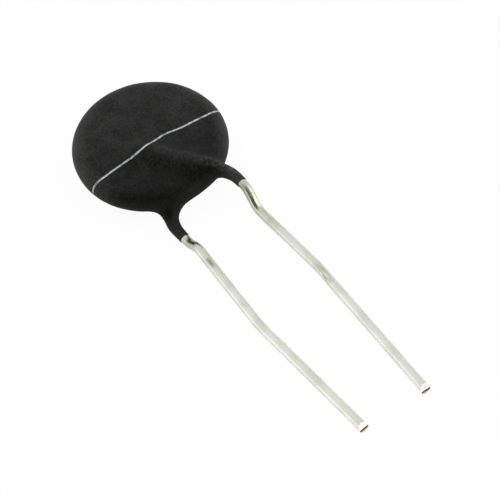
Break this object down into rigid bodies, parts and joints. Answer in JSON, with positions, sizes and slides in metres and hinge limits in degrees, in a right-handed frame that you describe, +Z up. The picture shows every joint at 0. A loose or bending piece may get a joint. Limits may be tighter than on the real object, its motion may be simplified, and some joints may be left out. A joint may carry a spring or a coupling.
{
  "type": "inrush current limiter",
  "caption": "Flat disc thermistor in a dark matte coat with a thin light line across its face. Bare tinned wire leads leave one edge side by side and kink in to its middle plane.",
  "frame": {"origin": "centre of the bounding box on the surface that the part lies on", "axes": "+Z up from that surface, along the axis of the disc; +Y from the lead tips to the disc; +X across the leads"},
  "size_m": [0.0165, 0.048, 0.0048],
  "materials": {
    "coat": "matte dipped lacquer",
    "ceramic": "matte sintered",
    "silver_film": "fired silver film, satin",
    "solder": "bright solder",
    "tinned_wire": "tinned copper, satin",
    "ink": "printed ink, matte"
  },
  "bodies": {
    "root": {"coating": "coat", "thermistor_disc": "ceramic", "electrode_top": "silver_film", "electrode_bottom": "silver_film", "solder_top": "solder", "solder_bottom": "solder", "lead_right": "tinned_wire", "lead_left": "tinned_wire", "marking_line": "ink"}
  },
  "joints": []
}
